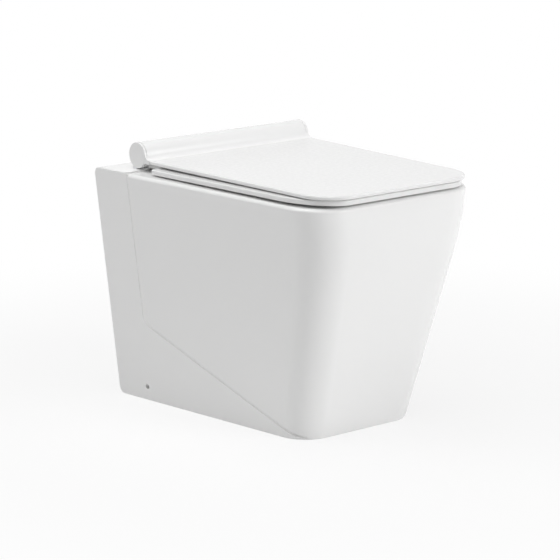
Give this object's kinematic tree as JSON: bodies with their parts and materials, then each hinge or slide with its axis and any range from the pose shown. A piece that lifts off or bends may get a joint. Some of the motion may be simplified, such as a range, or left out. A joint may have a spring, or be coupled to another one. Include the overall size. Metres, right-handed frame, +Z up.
{
  "type": "toilet",
  "caption": "Back-to-wall toilet pan in white ceramic with a tapered skirt, a slim square seat and a slim lid on a full-width soft-close hinge barrel.",
  "frame": {"origin": "centre of the overall box, on the floor", "axes": "+Z up, +Y from the front towards the wall, +X to the right when looking from the front"},
  "size_m": [0.4272, 0.532, 0.4453],
  "materials": {
    "glaze": "gloss",
    "gloss_plastic": "gloss",
    "steel": "satin",
    "rubber": "matte",
    "nylon": "matte",
    "buffer": "matte"
  },
  "bodies": {
    "pan": {"pan": "glaze", "flush_seal": "rubber", "floor_bracket_left": "nylon", "floor_bracket_right": "nylon", "floor_screws": "steel", "hinge_bracket_left": "steel", "hinge_bracket_right": "steel", "hinge_cap_left": "gloss_plastic", "hinge_cap_right": "gloss_plastic", "seat_damper_rotor": "steel", "lid_damper_rotor": "steel", "hinge_bolts": "steel", "hinge_washers": "steel", "hinge_sleeves": "rubber", "hinge_nuts": "steel"},
    "seat": {"seat_ring": "gloss_plastic", "seat_buffers": "buffer", "seat_damper_body": "nylon", "seat_bush": "nylon"},
    "lid": {"lid": "gloss_plastic", "lid_buffers": "buffer", "lid_damper_body": "nylon", "lid_bush": "nylon"}
  },
  "joints": [
    {"name": "seat_hinge", "type": "hinge", "parent": "pan", "child": "seat", "pos_m": [0, 0.198, 0.4235], "axis": [-1, 0, 0], "range_deg": [0, 95]},
    {"name": "lid_hinge", "type": "hinge", "parent": "seat", "child": "lid", "pos_m": [0, 0.198, 0.4235], "axis": [-1, 0, 0], "range_deg": [0, 100]}
  ]
}
